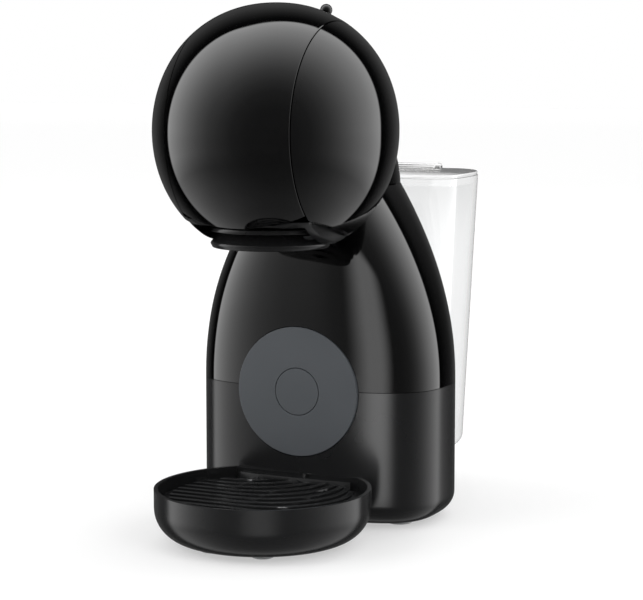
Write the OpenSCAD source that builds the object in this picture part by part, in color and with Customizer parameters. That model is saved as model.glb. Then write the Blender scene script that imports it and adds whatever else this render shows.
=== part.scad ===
// Capsule coffee machine: a round glossy head on a narrow column, with a clear rear tank,
// a capsule holder under the head, a hinged visor, and a round drip tray in front.
// +X is to the right of the user who faces the machine, -Y is its front, +Z is up, Z = 0 is the table.

/* [Head] */
// Width of the round head, side to side
head_w = 127.8; // [110:0.2:150]
// Diameter of the round head, seen from the side
head_d = 135.2; // [120:0.2:160]
// Height of the head's centre above the table
head_z = 219.4; // [205:0.2:250]
// Distance from the column's axis forward to the head's axis
head_reach = 67.8; // [60:0.2:76]
// Roundness of the head, 2 is an ellipsoid and more is boxier
head_n = 2.14; // [2:0.02:2.6]
// Wall of the head's covers
head_wall = 2.4; // [1.6:0.1:3.2]
// Width of the seams between the covers
seam = 0.6; // [0.4:0.1:0.9]

/* [Visor] */
// Where the visor's lower edge ends, as an angle past the horizontal behind the front
visor_drop = 46.5; // [42:0.5:50]
// Where the visor's rear edge ends, in front of the head's top, as an angle from the rear
visor_back = 82; // [80:0.5:88]
// How far behind the head's centre the hinge lies
hinge_back = 13.5; // [12:0.5:16]
// Depth of the hinge's axis under the head's top surface
hinge_deep = 6; // [5.5:0.1:8]
// Diameter of the hinge pin
pin_d = 2.4; // [2:0.1:3]
// Radial clearance of a pin in its bore
pin_fit = 0.05; // [0.01:0.01:0.1]

/* [Column] */
// Width of the column at its base
column_w = 143; // [130:1:160]
// Depth of the column at its base
column_d = 86.4; // [80:0.2:96]
// Squareness of the column's plan
column_n = 3; // [2.6:0.1:3.6]
// Height of the seam between the base shell and the glossy upper shell
seam_z = 76.8; // [70:0.2:90]
// How far under the head's centre the upper shell ends and the neck starts
neck_drop = 32.4; // [28:0.2:38]
// Half the width of the column at the neck
neck_a = 30; // [26:0.5:33]
// Wall of the column's shells
shell_wall = 2.4; // [1.8:0.1:3]
// Radius of the base's lower edge
base_r = 12; // [8:0.5:16]
// Height of the feet under the base
foot_h = 2; // [1.5:0.1:4]

/* [Front disc] */
// Diameter of the disc on the column's front
disc_d = 72; // [60:1:80]
// Diameter of the cap in the middle of the disc
hub_d = 26; // [18:1:34]
// Height of the disc's centre
disc_z = 75; // [70:0.5:84]

/* [Capsule holder] */
// Outer diameter of the holder at its widest
holder_d = 64.4; // [54:0.2:72]
// Diameter of the pocket for the capsule
pocket_d = 42; // [36:1:44]
// Room between the visor's lower edge and the holder's rim
holder_room = 0.96; // [0.6:0.02:2]
// Height of the holder
holder_h = 11.2; // [10:0.1:14]
// Distance of the holder's axis behind the head's front, measured from the head's centre
holder_fwd = 7; // [4:0.5:10]
// Clearance between the holder and its rails
rail_fit = 0.4; // [0.3:0.05:0.6]
// Thickness of the jaw's cheek beside each rail
cheek = 3; // [2.4:0.1:5]

/* [Drip tray] */
// Diameter of the tray
tray_d = 116.4; // [100:0.2:130]
// Height of the tray's rim above the table
tray_top = 30; // [26:0.5:40]
// Distance from the column's axis forward to the tray's centre
tray_reach = 85.6; // [80:0.2:92]
// Wall of the tray
tray_wall = 2.2; // [1.6:0.1:3]
// Radius between the tray's side and its bottom
tray_r = 18; // [8:0.5:20]
// Distance from one bar of the grid to the next
grid_pitch = 8; // [6:0.5:12]
// Width of one bar
grid_bar = 3.4; // [2:0.1:4.5]
// Height of the grid's top
grid_top = 25.6; // [22:0.2:25.8]

/* [Water tank] */
// Width of the tank at its rim
tank_w = 110; // [100:1:130]
// Height of the tank's rim
tank_top = 188.5; // [180:0.5:200]
// Height of the tank's bottom
tank_bottom = 26; // [24:0.5:40]
// Distance from the column's axis back to the tank's rear
tank_reach = 129.2; // [118:0.2:140]
// Wall of the tank
tank_wall = 2.2; // [1.6:0.1:3]
// How much narrower each side of the tank is at its bottom
tank_taper = 7; // [4:0.5:16]

/* [Hidden] */

// Overall places: the origin is under the middle of the machine's whole length.
column_y = (tray_reach + tray_d/2 - tank_reach)/2;
head_y = column_y - head_reach;
tray_y = column_y - tray_reach;
head_r = head_d/2;
head_a = head_w/2;
column_a = column_w/2;
column_b = column_d/2;
column_front = column_y - column_b;
visor_w = holder_d + 2*(rail_fit + cheek + seam);            // from one side seam to the other
neck_z = head_z - neck_drop;
holder_top = head_z - head_r*sin(visor_drop) - holder_room;
column_back = column_y + column_b;
gap = 0.4;             // between pieces that move past each other
touch = 0.3;           // between pieces that seat on each other
ring_pts = 44;
black = "#141414";
satin = "#2a2b2c";
grey = "#4b4e52";

// A plan like a rounded rectangle: half width a, half depths f (front) and b (rear),
// each half with its own squareness.
function plan(a, f, b, y, nf, nb, n = ring_pts) = [for (i = [0:n - 1])
    let (t = 360*i/n, c = cos(t), s = sin(t), e = s < 0 ? nf : nb, d = s < 0 ? f : b)
    [a*sign(c)*pow(abs(c), 2/e), y + d*sign(s)*pow(abs(s), 2/e)]];

// A solid through stacked plans. Each ring is [z, a, f, b, y, nf, nb].
module loft(rings, n = ring_pts) {
    m = len(rings);
    points = [for (r = rings) for (p = plan(r[1], r[2], r[3], r[4], r[5], r[6], n)) [p[0], p[1], r[0]]];
    sides = [for (k = [0:m - 2]) for (i = [0:n - 1]) let (j = (i + 1)%n)
        each [[k*n + i, (k + 1)*n + i, (k + 1)*n + j], [k*n + i, (k + 1)*n + j, k*n + j]]];
    low = [for (i = [0:n - 1]) i];
    high = [for (i = [n - 1:-1:0]) (m - 1)*n + i];
    polyhedron(points, concat([low, high], sides));
}

// Extrudes an outline drawn in Y and Z along X, centred on X = 0.
module along_x(w) {
    translate([-w/2, 0, 0]) rotate([90, 0, 90]) linear_extrude(w) children();
}

// One pass of corner cutting, which rounds a route's bends and keeps its two ends.
function cut_corners(p) = concat([p[0]],
    [for (i = [0:len(p) - 2]) each [0.75*p[i] + 0.25*p[i + 1], 0.25*p[i] + 0.75*p[i + 1]]], [p[len(p) - 1]]);

// A hose swept along a route, whose bends are rounded twice.
module hose(route, d, n = 10) {
    path = cut_corners(cut_corners(route));
    last = len(path) - 1;
    up = [0.31, 0.23, 0.92];
    points = [for (i = [0:last])
        let (t = path[min(i + 1, last)] - path[max(i - 1, 0)], u = cross(t, up)/norm(cross(t, up)),
            w = cross(t, u)/norm(t))
        for (k = [0:n - 1]) path[i] + d/2*(u*cos(360*k/n) + w*sin(360*k/n))];
    sides = [for (i = [0:last - 1]) for (k = [0:n - 1]) let (j = (k + 1)%n)
        each [[i*n + k, (i + 1)*n + k, (i + 1)*n + j], [i*n + k, (i + 1)*n + j, i*n + j]]];
    polyhedron(points, concat([[for (k = [0:n - 1]) k], [for (k = [n - 1:-1:0]) last*n + k]], sides));
}

// ---- the round head ----

// A point of the head's outline, turned about X, and the turn where it reaches x.
function head_point(t, inset) = [(head_r - inset)*pow(cos(t), 2/head_n),
    (head_a - inset)*sign(t)*pow(abs(sin(t)), 2/head_n)];
function head_turn(x, inset) = sign(x)*asin(pow(min(1, abs(x)/(head_a - inset)), head_n/2));
function head_radius(x, inset = 0) = head_point(head_turn(x, inset), inset)[0];
function head_arc(x0, x1, inset, k) = let (a = head_turn(x0, inset), b = head_turn(x1, inset))
    [for (i = [0:k]) head_point(a + (b - a)*i/k, inset)];

module head_turned(outline) {
    translate([0, head_y, head_z]) rotate([0, 90, 0]) rotate_extrude($fn = 96)
        polygon([for (p = outline) [p[0], -p[1]]]);
}

// A ring of the head's wall between x0 and x1, from depth d0 to depth d1.
module head_band(x0, x1, d0, d1, k = 16) {
    outer = head_arc(x0, x1, d0, k);
    inner = head_arc(x0, x1, d1, k);
    head_turned(concat(outer, [for (i = [k:-1:0]) inner[i]]));
}

// The side dome of the wall, out to its tip.
module head_dome(x0, k = 16) {
    outer = head_arc(x0, head_a, 0, k);
    inner = head_arc(x0, head_a - head_wall, head_wall, k);
    head_turned(concat(outer, [for (i = [k:-1:0]) inner[i]]));
}

// The head as one solid, smaller by an inset.
module head_solid(inset, x = head_a) {
    w = min(x, head_a - inset);
    arc = head_arc(-w, w, inset, 24);
    head_turned(x < head_a - inset ? concat([[0, -w]], arc, [[0, w]]) : arc);
}

// The wedge of the YZ plane between two turns, 0 at the rear and 90 at the top.
module head_sector(from, to, w) {
    reach = head_d;
    steps = 4;
    translate([0, head_y, head_z]) along_x(w) polygon(concat([[0, 0]],
        [for (i = [0:steps]) let (t = from + (to - from)*i/steps) [reach*cos(t), reach*sin(t)]]));
}

visor_a = visor_w/2 - seam;                    // half the visor's width
visor_end = 180 + visor_drop;
hinge_y = head_y + hinge_back;
hinge_z = head_z + sqrt(head_r*head_r - hinge_back*hinge_back) - hinge_deep;
knuckle_r = 2.8;
knuckle_a = 17;                                // half the length of the visor's knuckle
lug_w = 2.6;
rear_from = -34;                               // the rear cover runs inside the neck down to here
rear_edge = hinge_back + knuckle_r + 1.6;                  // how far behind the head's centre it starts
rear_to = acos(rear_edge/head_r);
jaw_level = holder_top - 3.4;                  // the side covers' lower edge under the head's centre
jaw_slope = 0.25;

// Everything below the side covers' lower edge, which sinks a little towards the rear.
module below_jaw() {
    front = -head_r - 1;
    back = head_r + 1;
    translate([0, head_y, 0]) along_x(head_w + 2) polygon([[front, head_z - head_d],
        [back, head_z - head_d], [back, jaw_level - jaw_slope*back], [front, jaw_level - jaw_slope*front]]);
}

module head_cover_right() {
    color(black) difference() {
        head_dome(visor_w/2);
        below_jaw();
    }
}

module head_cover_left() {
    mirror([1, 0, 0]) head_cover_right();
}

// The lever's knob swings about the head's own axis of depth, in this plane.
lever_back = 28;
lever_r = head_r - 1.6;
lever_d = 6.6;
lever_turn = 14.2;
button_d = 18;
button_turn = 45;
button_travel = 2;

module button_axis(r) {
    translate([0, head_y, head_z]) rotate([button_turn - 90, 0, 0]) translate([0, 0, r]) children();
}

module head_rear_cover() {
    lip = 10;
    color(black) difference() {
        union() {
            intersection() {
                head_band(-visor_a, visor_a, 0, head_wall);
                head_sector(rear_from, rear_to, visor_w);
            }
            for (s = [-1, 1]) {
                intersection() {
                    head_band(s > 0 ? knuckle_a + lug_w + 1 : -visor_a, s > 0 ? visor_a : -knuckle_a - lug_w - 1,
                        head_wall - 0.1, head_wall + 1.6, 6);
                    head_sector(rear_to - lip, visor_back - 0.5, visor_w);
                }
                translate([s*(knuckle_a + gap + lug_w/2), hinge_y, hinge_z]) {
                    rotate([0, 90, 0]) cylinder(h = lug_w, r = knuckle_r - 0.2, center = true, $fn = 32);
                    along_x(lug_w) polygon([[0, -2.4], [9, -4.2], [9, -0.6], [0, 1.6]]);
                }
            }
        }
        translate([0, hinge_y, hinge_z]) rotate([0, 90, 0])
            cylinder(h = visor_w, d = pin_d + 2*pin_fit, center = true, $fn = 32);
        translate([0, head_y + lever_back, head_z + head_r])
            cube([2*(lever_r*sin(lever_turn) + 2.6), 3.6, 30], center = true);
        button_axis(head_r - 10) cylinder(h = 30, d = button_d + 5, $fn = 64);
    }
}

// ---- the jaw under the head, which carries the holder on two rails ----

holder_y = head_y - holder_fwd;
holder_a = holder_d/2;
holder_low = holder_top - holder_h;
flange_t = 2.5;
rail_a = holder_a + rail_fit;
holder_mid = (holder_a + pocket_d/2)/2;
rail_in = (rail_a - holder_mid)/2;             // how far a rail reaches in under the flange
rail_t = 2.1;
jaw_floor = holder_top + 1.8;
jaw_t = 3;
jaw_back = 34;
mouth_r = pocket_d/2 + 6.5;
guide_x = pocket_d/2 + 9.4;
guide_d = 3.6;

module jaw_frame() {
    wall_y = 27;
    color(satin) intersection() {
        head_solid(0.4, visor_a);
        union() {
            difference() {
                translate([-visor_a, head_y - 40, head_z - head_r])
                    cube([2*visor_a, 40 + jaw_back, jaw_floor + jaw_t - head_z + head_r]);
                translate([-rail_a, head_y - 60, head_z - head_r - 1])
                    cube([2*rail_a, 60 + wall_y, jaw_floor - head_z + head_r + 1]);
                translate([0, holder_y, jaw_floor - 1]) cylinder(h = jaw_t + 2, r = mouth_r, $fn = 96);
                for (s = [-1, 1]) translate([s*guide_x, holder_y, jaw_floor - 1])
                    cylinder(h = jaw_t + 2, d = guide_d, $fn = 32);
                jaw_screw_places() cylinder(h = 10, d = 3, $fn = 24);
            }
            for (s = [-1, 1]) translate([s*(rail_a - rail_in/2), head_y - 6, holder_top - flange_t - gap - rail_t/2])
                cube([rail_in, 2*(wall_y + 6), rail_t], center = true);
        }
    }
}

// The jaw hangs on the upright frame by two screws, which point forward.
module jaw_screw_places() {
    for (s = [-1, 1]) translate([s*18, frame_y + frame_t, jaw_floor - 3]) rotate([90, 0, 0]) children();
}

module jaw_screws() {
    color("silver") jaw_screw_places() {
        cylinder(h = 9, d = 2.8, $fn = 24);
        translate([0, 0, -2]) cylinder(h = 2, d = 5.6, $fn = 32);
    }
}

module capsule_holder() {
    neck = holder_mid - 0.8;
    flare = [[pocket_d/2 - 4, holder_low + 2.4], [pocket_d/2 - 4, holder_low], [holder_a - 1.2, holder_low],
        [holder_a, holder_low + 2.2], [holder_a - 0.6, holder_low + 3.2], [neck + 1.2, holder_top - flange_t - 0.8],
        [neck, holder_top - flange_t], [neck - 1.6, holder_top - 1.4], [pocket_d/2, holder_top - 1.4],
        [pocket_d/2, holder_low + 2.4]];
    color(satin) union() {
        translate([0, holder_y, 0]) rotate_extrude($fn = 96) polygon(flare);
        difference() {
            union() {
                translate([0, holder_y, holder_top - flange_t]) cylinder(h = flange_t, r = holder_a, $fn = 96);
                translate([-holder_a, holder_y, holder_top - flange_t]) cube([2*holder_a, holder_fwd + 26, flange_t]);
            }
            translate([0, holder_y, holder_top - 1.4]) cylinder(h = 2, r = holder_mid + 0.2, $fn = 96);
            translate([0, holder_y, holder_top - flange_t - 1]) cylinder(h = 2, r = pocket_d/2, $fn = 96);
        }
    }
}

// The outlet in the bottom of the pocket.
module holder_nozzle() {
    throat = pocket_d/2 - 4;
    color(black) translate([0, holder_y, 0]) rotate_extrude($fn = 64) polygon([
        [6, holder_low + 1.2], [6, holder_low - 0.6], [throat - gap, holder_low - 0.6],
        [throat - gap, holder_low + 2.4 + touch], [throat + 1.6, holder_low + 2.4 + touch],
        [throat + 1.6, holder_low + 4], [throat - 2, holder_low + 4]]);
}

// ---- the visor and its frame ----

module visor_shell() {
    color(black) intersection() {
        head_band(-visor_a, visor_a, 0, head_wall, 28);
        head_sector(visor_back, visor_end, visor_w);
    }
}

module visor_frame() {
    rib_a = visor_a - 5;
    rib_t = 3;
    rib_h = 5;
    skin = head_wall + touch;
    color(satin) difference() {
        union() {
            for (s = [-1, 1]) intersection() {
                head_band(s > 0 ? rib_a - rib_t : -rib_a, s > 0 ? rib_a : rib_t - rib_a, skin, skin + rib_h, 2);
                head_sector(visor_back + 4, visor_end - 5, visor_w);
            }
            intersection() {
                head_band(-rib_a, rib_a, skin, skin + 2.6, 12);
                head_sector(visor_back + 2, visor_back + 10, visor_w);
            }
            intersection() {
                translate([0, hinge_y, hinge_z]) {
                    rotate([0, 90, 0]) cylinder(h = 2*knuckle_a, r = knuckle_r, center = true, $fn = 32);
                    along_x(2*knuckle_a) polygon([[0, -2.6], [0, 0], [-9.5, 2.4], [-13, 2.2], [-13, -0.8]]);
                }
                head_solid(skin);
            }
        }
        translate([0, hinge_y, hinge_z]) rotate([0, 90, 0])
            cylinder(h = visor_w, d = pin_d + 2*pin_fit, center = true, $fn = 32);
    }
}

module hinge_pin() {
    color("silver") translate([0, hinge_y, hinge_z]) rotate([0, 90, 0])
        cylinder(h = 2*(knuckle_a + gap + lug_w), d = pin_d, center = true, $fn = 32);
}

// ---- the needle carriage, which rises as the visor opens ----

plate_z = jaw_floor + jaw_t + 0.8;
plate_t = 3.6;
needle_d = 2.4;
seal_t = plate_z - holder_top - 1;

module carriage_guides() {
    color("silver") for (s = [-1, 1]) translate([s*guide_x, holder_y, jaw_floor + 0.4])
        cylinder(h = 24, d = guide_d - 0.1, $fn = 32);
}

module needle_plate() {
    color(satin) difference() {
        union() {
            translate([0, holder_y, plate_z]) cylinder(h = plate_t, r = mouth_r - 2.5, $fn = 96);
            translate([0, holder_y, plate_z + plate_t/2]) cube([2*guide_x + 6.4, 9, plate_t], center = true);
            translate([0, holder_y, plate_z]) cylinder(h = plate_t + 6, d = 11, $fn = 48);
        }
        for (s = [-1, 1]) translate([s*guide_x, holder_y, plate_z - 1])
            cylinder(h = plate_t + 2, d = guide_d - 0.1 + 0.16, $fn = 32);
        translate([0, holder_y, plate_z - 1]) cylinder(h = plate_t + 8, d = needle_d + 0.04, $fn = 32);
    }
}

module needle() {
    color("silver") translate([0, holder_y, 0]) rotate_extrude($fn = 32) polygon([[0, holder_top + 0.7],
        [needle_d/2, holder_top + 3.4], [needle_d/2, plate_z + plate_t + 6], [0, plate_z + plate_t + 6]]);
}

module needle_seal() {
    r = pocket_d/2 - 3;
    color("dimgray") translate([0, holder_y, plate_z - seal_t]) difference() {
        cylinder(h = seal_t, r = r, $fn = 64);
        translate([0, 0, -1]) cylinder(h = seal_t + 2, r = r - 4, $fn = 64);
    }
}

// A short soft hose between the rising carriage and a port beside the fixed valve's pivot.
module needle_hose() {
    port_x = 8.5;
    port_drop = 3;
    top = plate_z + plate_t + 6;
    color("gainsboro") hose([[0, holder_y, top + 0.1], [0, holder_y, top + 12], [-port_x, head_y + 4, head_z - port_drop],
        [-port_x, lever_y + 1.9, head_z - port_drop]], 3.2);
}

// ---- the temperature lever ----

lever_y = head_y + lever_back;

module lever_place() {
    translate([0, lever_y, head_z]) rotate([0, lever_turn, 0]) children();
}

module selector_knob() {
    color(black) lever_place() translate([0, 0, lever_r]) difference() {
        sphere(d = lever_d, $fn = 48);
        translate([0, 0, -lever_d]) cylinder(h = lever_d - 0.6, d = 2.1, $fn = 32);
    }
}

module selector_arm() {
    color(satin) lever_place() difference() {
        union() {
            translate([-1.5, -1.1, 4]) cube([3, 2.2, lever_r - 10]);
            translate([0, 0, lever_r - 7]) cylinder(h = 6, d = 2, $fn = 32);
            rotate([90, 0, 0]) cylinder(h = 3, d = 11, center = true, $fn = 48);
        }
        rotate([90, 0, 0]) cylinder(h = 8, d = 3 + 2*pin_fit, center = true, $fn = 32);
    }
}

module selector_pin() {
    color("silver") translate([0, lever_y - 3, head_z]) rotate([-90, 0, 0]) cylinder(h = 7, d = 3, $fn = 32);
}

frame_y = head_y + 36;
frame_t = 3;

module selector_valve() {
    color(satin) translate([0, lever_y + 2.1, head_z]) rotate([-90, 0, 0]) difference() {
        cylinder(h = frame_y - lever_y - 2.1, d = 20, $fn = 64);
        translate([0, 0, -1]) cylinder(h = 2.9, d = 3.02, $fn = 32);
    }
}

// ---- the power button behind the head ----

button_rim = head_r - 0.8;

module power_button() {
    color(grey) button_axis(button_rim - 7) cylinder(h = 7.4, d = button_d, $fn = 64);
}

module button_ring() {
    color(satin) button_axis(button_rim - 5) difference() {
        cylinder(h = 5, d = button_d + 4.6, $fn = 64);
        translate([0, 0, -1]) cylinder(h = 7, d = button_d + 0.8, $fn = 64);
    }
}

module power_switch() {
    color(black) button_axis(button_rim - 7 - button_travel - 8.4) {
        translate([-6.5, -5, 0]) cube([13, 10, 7]);
        cylinder(h = 8, d = 4, $fn = 32);
        translate([-button_d/2 - 2, -5, 5]) cube([button_d + 4, 10, 2]);
        for (s = [-1, 1]) translate([s*(button_d/2 + 1.3) - 0.7, -5, 5]) cube([1.4, 10, 7.2]);
    }
}

// ---- the column ----

// How much the column has drawn in at a height: 0 at the seam, 1 at the neck.
function draw_in(z) = pow(max(0, z - seam_z)/(neck_z + 8 - seam_z), 2.1);
function lean(z) = pow(max(0, z - disc_z - 40)/80, 2);
function column_ring(z, inset) = let (s = draw_in(z), k = 7.2*lean(z), b = column_b - k - inset)
    [z, column_a - (column_a - neck_a + 1.5)*s - inset, b, b, column_y + k, column_n, column_n];

module head_room() {
    head_solid(-gap);
}

module disc_room() {
    translate([0, column_front - 10, disc_z]) rotate([-90, 0, 0]) cylinder(h = 20, d = disc_d + 0.8, $fn = 96);
}

module base_shell() {
    turns = [0, 18, 36, 54, 72, 90];
    top = seam_z - touch/2;
    function side(inset) = [column_a - inset, column_b - inset, column_b - inset, column_y, column_n, column_n];
    inner = shell_wall;
    color(satin) difference() {
        loft(concat([for (t = turns) concat([foot_h + base_r*(1 - cos(t))], side(base_r*(1 - sin(t))))],
            [concat([top], side(0))]));
        loft([concat([foot_h - 1], side(base_r)), concat([foot_h + shell_wall], side(base_r)),
            concat([foot_h + base_r*0.55], side(inner + base_r*0.3)), concat([foot_h + base_r + 2], side(inner)),
            concat([top + 1], side(inner))]);
        disc_room();
        gland_place() cylinder(h = 40, d = gland_d + 0.4, center = true, $fn = 48);
        translate([0, column_back - 8, inlet_z]) rotate([-90, 0, 0]) cylinder(h = 12, d = 6.6, $fn = 32);
    }
}

module column_shell() {
    low = seam_z + touch/2;
    steps = 9;
    heights = [for (i = [0:steps]) low + (neck_z - low)*i/steps];
    color(black) difference() {
        loft([for (z = heights) column_ring(z, 0)]);
        loft([for (z = concat([low - 1], [for (i = [1:steps - 1]) heights[i]], [neck_z + 1]))
            column_ring(z, shell_wall)]);
        head_room();
        disc_room();
    }
}

// The neck closes behind the head in a low dome.
module neck_shell() {
    low = neck_z + seam;
    high = 50;
    edge = column_ring(low, 0);
    turns = [0, 15, 30, 45, 60, 74, 84];
    function cap(inset) = [for (t = turns) [low + (high - inset)*sin(t), (edge[1] - inset)*cos(t),
        (edge[2] - inset)*cos(t), (edge[3] - inset)*cos(t), edge[4], column_n - 0.8*sin(t), column_n - 0.8*sin(t)]];
    inner = cap(shell_wall);
    color(black) difference() {
        loft(cap(0));
        loft(concat([concat([low - 1], [for (i = [1:6]) inner[0][i]])], [for (i = [1:6]) inner[i]]));
        head_room();
    }
}

module front_disc() {
    t = 3;
    back = frame_y - column_front;
    color(grey) translate([0, column_front - 0.2, disc_z]) rotate([-90, 0, 0]) difference() {
        union() {
            cylinder(h = t, d = disc_d, $fn = 96);
            cylinder(h = back, d = disc_d - 14, $fn = 96);
        }
        translate([0, 0, t]) cylinder(h = back, d = disc_d - 18, $fn = 96);
        translate([0, 0, -1]) cylinder(h = 2.2, d = hub_d + 0.6, $fn = 64);
    }
}

module disc_cap() {
    color(grey) translate([0, column_front - 0.2, disc_z]) rotate([-90, 0, 0]) cylinder(h = 1.1, d = hub_d, $fn = 64);
}

plate_top = foot_h + shell_wall;
screw_x = 34;
screw_y = 16;

module at_base_corners(x, y) {
    for (s = [-1, 1], t = [-1, 1]) translate([s*x, column_y + t*y, 0]) children();
}

module base_plate() {
    a = column_a - base_r - touch;
    b = column_b - base_r - touch;
    color(satin) difference() {
        translate([0, 0, foot_h]) linear_extrude(shell_wall) polygon(plan(a, b, b, column_y, column_n, column_n));
        at_base_corners(screw_x, screw_y) translate([0, 0, foot_h - 1]) cylinder(h = 6, d = 3.2, $fn = 24);
    }
}

module base_feet() {
    color("dimgray") at_base_corners(column_a - base_r - 11, 12) cylinder(h = foot_h, d = 14, $fn = 48);
}

module base_screws() {
    color("silver") at_base_corners(screw_x, screw_y) {
        translate([0, 0, foot_h - 1.2]) cylinder(h = 1.2, d = 6, $fn = 32);
        translate([0, 0, foot_h - 1]) cylinder(h = 12, d = 3, $fn = 24);
    }
}

// The upright frame inside the column: it stands on the base plate and carries the works.
module inner_frame() {
    wide = 40;
    slim = 24;
    low_z = foot_h + base_r;
    mid_z = seam_z + 40;
    top_z = head_z + 18;
    color("dimgray") difference() {
        union() {
            translate([-wide, frame_y, low_z]) cube([2*wide, frame_t, mid_z - low_z]);
            translate([-slim, frame_y, mid_z - 1]) cube([2*slim, frame_t, top_z - mid_z + 1]);
            at_base_corners(screw_x, screw_y) translate([0, 0, plate_top]) cylinder(h = 10, d = 8, $fn = 32);
            for (s = [-1, 1]) translate([s*screw_x, 0, 0]) along_x(3) polygon([[column_y - screw_y - 9, plate_top],
                [column_y + screw_y + 9, plate_top], [column_y + screw_y + 9, plate_top + 6],
                [frame_y + frame_t + 8, plate_top + 8], [frame_y + frame_t - 0.5, low_z + 14],
                [frame_y + 0.5, low_z + 14], [frame_y + 0.5, low_z]]);
        }
        at_base_corners(screw_x, screw_y) translate([0, 0, plate_top - 1]) cylinder(h = 10, d = 3.1, $fn = 24);
        jaw_screw_places() translate([0, 0, -1]) cylinder(h = frame_t + 2, d = 3.2, $fn = 24);
    }
}

// ---- the works inside the column ----

pump_x = -26;
pump_y = column_y + 14;
pump_z = 34;

module pump_body() {
    color("gainsboro") translate([pump_x, pump_y, pump_z]) difference() {
        union() {
            cylinder(h = 66, d = 20, $fn = 48);
            translate([0, 0, -10]) cylinder(h = 10, d = 8, $fn = 32);
            translate([0, 0, 66]) cylinder(h = 8, d = 8, $fn = 32);
        }
        translate([0, 0, -11]) cylinder(h = 6, d = 4, $fn = 32);
    }
}

module pump_coil() {
    color("chocolate") translate([pump_x, pump_y, pump_z + 14]) difference() {
        translate([-17, -17, 0]) cube([34, 34, 34]);
        translate([0, 0, -1]) cylinder(h = 36, d = 20.2, $fn = 48);
    }
}

module pump_mounts() {
    color("dimgray") for (z = [pump_z + 3, pump_z + 57]) difference() {
        union() {
            translate([pump_x, pump_y, z]) cylinder(h = 6, d = 28, $fn = 48);
            translate([pump_x - 7, frame_y + frame_t, z]) cube([14, pump_y - frame_y - frame_t - 11, 6]);
        }
        translate([pump_x, pump_y, z - 1]) cylinder(h = 8, d = 20.2, $fn = 48);
    }
}

heater_x = 12;
heater_z = 72;

module thermoblock() {
    t = 22;
    color("silver") translate([heater_x, frame_y + frame_t + 1, heater_z]) difference() {
        union() {
            cube([38, t, 56]);
            for (z = [14, 42]) translate([4, -1, z]) cube([8, 2, 4]);
            translate([8, t/2, 55]) cylinder(h = 7, d = 7, $fn = 32);
            translate([30, t/2, -6]) cylinder(h = 7, d = 7, $fn = 32);
        }
        for (i = [0:5]) translate([-1, t - 4, 5 + 8.5*i]) cube([40, 5, 4]);
    }
}

module thermostat() {
    color("white") translate([heater_x + 20, frame_y + frame_t + 12, heater_z + 56]) {
        cylinder(h = 5, d = 12, $fn = 48);
        for (s = [-1, 1]) translate([s*3.5 - 0.4, -2, 4]) cube([0.8, 4, 7]);
    }
}

module thermal_fuse() {
    color("tan") translate([heater_x + 34, frame_y + frame_t + 9, heater_z + 56])
        cylinder(h = 6, d = 6, $fn = 32);
}

module hose_tank_pump() {
    color("gainsboro") hose([[pump_x, pump_y, pump_z - 10.2], [pump_x, pump_y, pump_z - 15],
        [-12, column_back - 17, inlet_z], [0, column_back - 10, inlet_z], [0, valve_y - 3, inlet_z]], 6);
}

module hose_pump_heater() {
    top = pump_z + 76;
    color("gainsboro") hose([[pump_x, pump_y, top - 1.9], [pump_x, pump_y, top + 4], [-4, pump_y + 4, top + 8],
        [2, pump_y + 14, top - 10], [heater_x + 20, pump_y + 16, heater_z - 12],
        [heater_x + 30, frame_y + frame_t + 12, heater_z - 12],
        [heater_x + 30, frame_y + frame_t + 12, heater_z - 6.1]], 5);
}

module hose_heater_valve() {
    y = frame_y + frame_t + 12;
    color("gainsboro") hose([[heater_x + 8, y, heater_z + 62.1], [heater_x + 8, y, heater_z + 74],
        [10, y - 8, head_z - 30], [0, y + 2, head_z - 4], [0, frame_y + frame_t + 0.1, head_z - 4]], 5);
}

board_x = -34;

module circuit_board() {
    color("darkgreen") union() {
        translate([board_x, frame_y + frame_t + 6, 112]) cube([50 - 6, 1.6, 38]);
        translate([board_x + 8, frame_y + frame_t + 7.6, 118]) cube([12, 9, 14]);
        translate([board_x + 26, frame_y + frame_t + 7.6, 130]) cube([10, 7, 10]);
    }
}

module board_standoffs() {
    color("silver") for (x = [14, 40], z = [116, 146]) translate([board_x + x, frame_y + frame_t, z])
        rotate([-90, 0, 0]) cylinder(h = 6, d = 4, $fn = 24);
}

gland_d = 11;
gland_x = -50;
gland_z = 22;

module gland_place() {
    translate([gland_x, column_y + column_b*pow(1 - pow(abs(gland_x)/column_a, column_n), 1/column_n), gland_z])
        rotate([-90, 0, 0]) children();
}

// The inlet for the mains lead.
module cord_gland() {
    color(black) gland_place() difference() {
        union() {
            translate([0, 0, -8]) cylinder(h = 12, d = gland_d, $fn = 48);
            translate([0, 0, 3]) cylinder(h = 2.5, d = gland_d + 4, $fn = 48);
        }
        translate([0, 0, -9]) cylinder(h = 16, d = 6.6, $fn = 48);
    }
}

// ---- the water tank and its dock ----

tank_front = column_back + 1.1;
tank_mid = tank_front + 27.7;
tank_rear = column_y + tank_reach;
lid_axis_y = tank_rear - 3;
lid_axis_z = tank_top + 2.6;
lid_pin_a = 17.6;

// One plan of the tank at a height.
function tank_ring(z, inset) = let (s = (tank_top - z)/(tank_top - tank_bottom), d = tank_taper*s)
    [z, tank_w/2 - d - inset, tank_mid - 0.3*d - tank_front - inset + 0.3*s, tank_rear - tank_mid - 1.1*d - inset,
        tank_mid - 0.3*d, 6, 2.6];

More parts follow.
